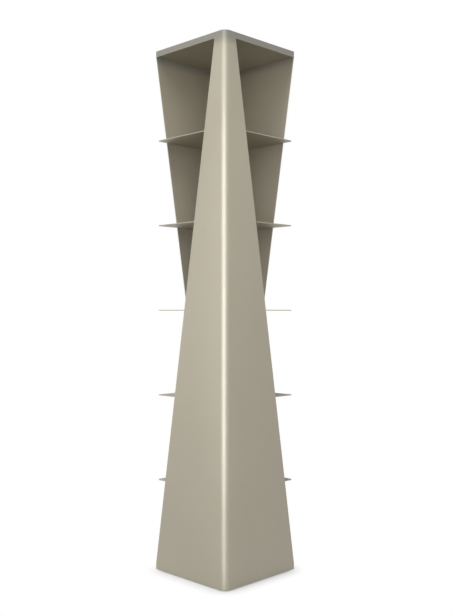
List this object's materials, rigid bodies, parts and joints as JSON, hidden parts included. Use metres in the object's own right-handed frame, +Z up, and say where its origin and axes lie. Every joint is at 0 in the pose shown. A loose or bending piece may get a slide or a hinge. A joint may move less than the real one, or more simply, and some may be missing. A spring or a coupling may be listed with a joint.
{
  "type": "tower bookcase",
  "caption": "Square tower bookcase in painted sheet steel: two tapered folded corner sheets, one inverted, carry thin shelves; it opens to the front above and to the rear below.",
  "frame": {"origin": "on the floor, under the middle of the square plan", "axes": "+Z up; X and Y along the sides of the plan; the front fold is at -X -Y and the rear fold at +X +Y"},
  "size_m": [0.36, 0.36, 1.913],
  "materials": {
    "paint": "satin powder coat",
    "plated_steel": "zinc plated",
    "foot_nylon": "moulded"
  },
  "bodies": {
    "frame": {"front_corner_sheet": "paint", "rear_corner_sheet": "paint", "base_plate": "paint", "shelf_1": "paint", "shelf_2": "paint", "shelf_3": "paint", "shelf_4": "paint", "shelf_5": "paint", "top_plate": "paint", "front_weld_studs": "plated_steel", "rear_weld_studs": "plated_steel", "front_washers": "plated_steel", "rear_washers": "plated_steel", "front_cap_nuts": "plated_steel", "rear_cap_nuts": "plated_steel", "foot_bushes": "paint"},
    "front_foot_pad": {"foot_pad_front": "foot_nylon"},
    "front_foot_screw": {"foot_screw_front": "plated_steel"},
    "left_foot_pad": {"foot_pad_left": "foot_nylon"},
    "left_foot_screw": {"foot_screw_left": "plated_steel"},
    "right_foot_pad": {"foot_pad_right": "foot_nylon"},
    "right_foot_screw": {"foot_screw_right": "plated_steel"},
    "rear_foot_pad": {"foot_pad_rear": "foot_nylon"},
    "rear_foot_screw": {"foot_screw_rear": "plated_steel"}
  },
  "joints": [
    {"name": "front_foot_height", "type": "slide", "parent": "frame", "child": "front_foot_pad", "axis": [0, 0, 1], "range_m": [-0.007, 0.003]},
    {"name": "front_foot_turn", "type": "hinge", "parent": "front_foot_pad", "child": "front_foot_screw", "pos_m": [-0.13, -0.13, 0.01], "axis": [0, 0, 1], "range_deg": [-2016, 864]},
    {"name": "left_foot_height", "type": "slide", "parent": "frame", "child": "left_foot_pad", "axis": [0, 0, 1], "range_m": [-0.007, 0.003]},
    {"name": "left_foot_turn", "type": "hinge", "parent": "left_foot_pad", "child": "left_foot_screw", "pos_m": [-0.13, 0.13, 0.01], "axis": [0, 0, 1], "range_deg": [-2016, 864]},
    {"name": "right_foot_height", "type": "slide", "parent": "frame", "child": "right_foot_pad", "axis": [0, 0, 1], "range_m": [-0.007, 0.003]},
    {"name": "right_foot_turn", "type": "hinge", "parent": "right_foot_pad", "child": "right_foot_screw", "pos_m": [0.13, -0.13, 0.01], "axis": [0, 0, 1], "range_deg": [-2016, 864]},
    {"name": "rear_foot_height", "type": "slide", "parent": "frame", "child": "rear_foot_pad", "axis": [0, 0, 1], "range_m": [-0.007, 0.003]},
    {"name": "rear_foot_turn", "type": "hinge", "parent": "rear_foot_pad", "child": "rear_foot_screw", "pos_m": [0.13, 0.13, 0.01], "axis": [0, 0, 1], "range_deg": [-2016, 864]}
  ],
  "couplings": [
    {"joint": "front_foot_turn", "follows": "front_foot_height", "rad_per_m": 5026.5},
    {"joint": "left_foot_turn", "follows": "left_foot_height", "rad_per_m": 5026.5},
    {"joint": "right_foot_turn", "follows": "right_foot_height", "rad_per_m": 5026.5},
    {"joint": "rear_foot_turn", "follows": "rear_foot_height", "rad_per_m": 5026.5}
  ]
}
